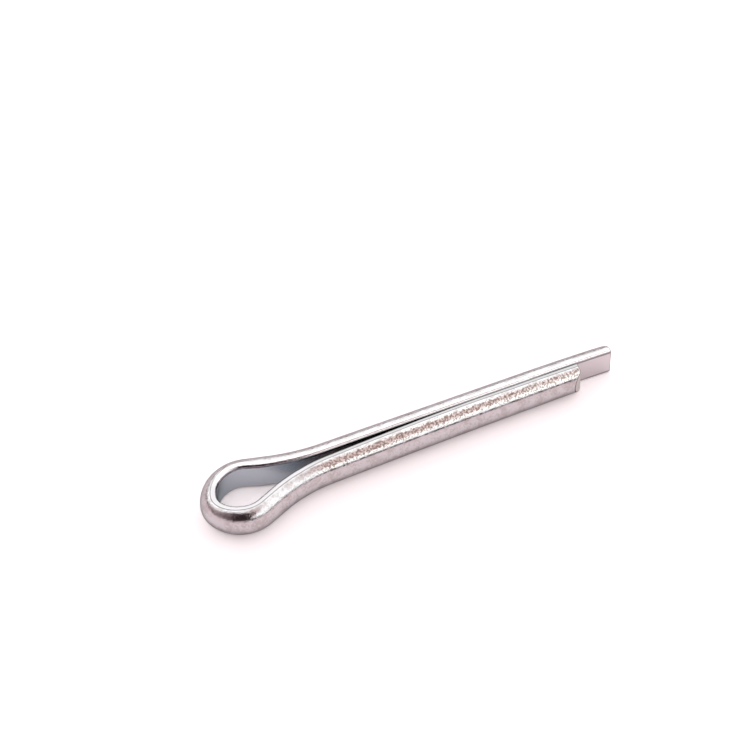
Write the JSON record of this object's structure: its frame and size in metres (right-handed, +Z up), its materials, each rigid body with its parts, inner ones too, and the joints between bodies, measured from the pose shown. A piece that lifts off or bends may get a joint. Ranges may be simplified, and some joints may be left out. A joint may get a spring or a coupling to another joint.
{
  "type": "brake pad retaining pin",
  "caption": "Split pin of folded half-round wire with an open eye and two legs of unequal length; its shank passes through brake pads and caliper and is held by spreading the legs.",
  "frame": {"origin": "on the shank's axis, between the two flat faces, where the legs begin to part towards the eye", "axes": "+X along the shank to the leg tips, +Y to the side of the longer leg, +Z up from the surface that the pin lies on"},
  "size_m": [0.057, 0.0103, 0.0044],
  "materials": {
    "zinc_plated_steel": "bright zinc plating over drawn steel wire, faintly mottled"
  },
  "bodies": {
    "root": {"split_pin": "zinc_plated_steel"}
  },
  "joints": []
}
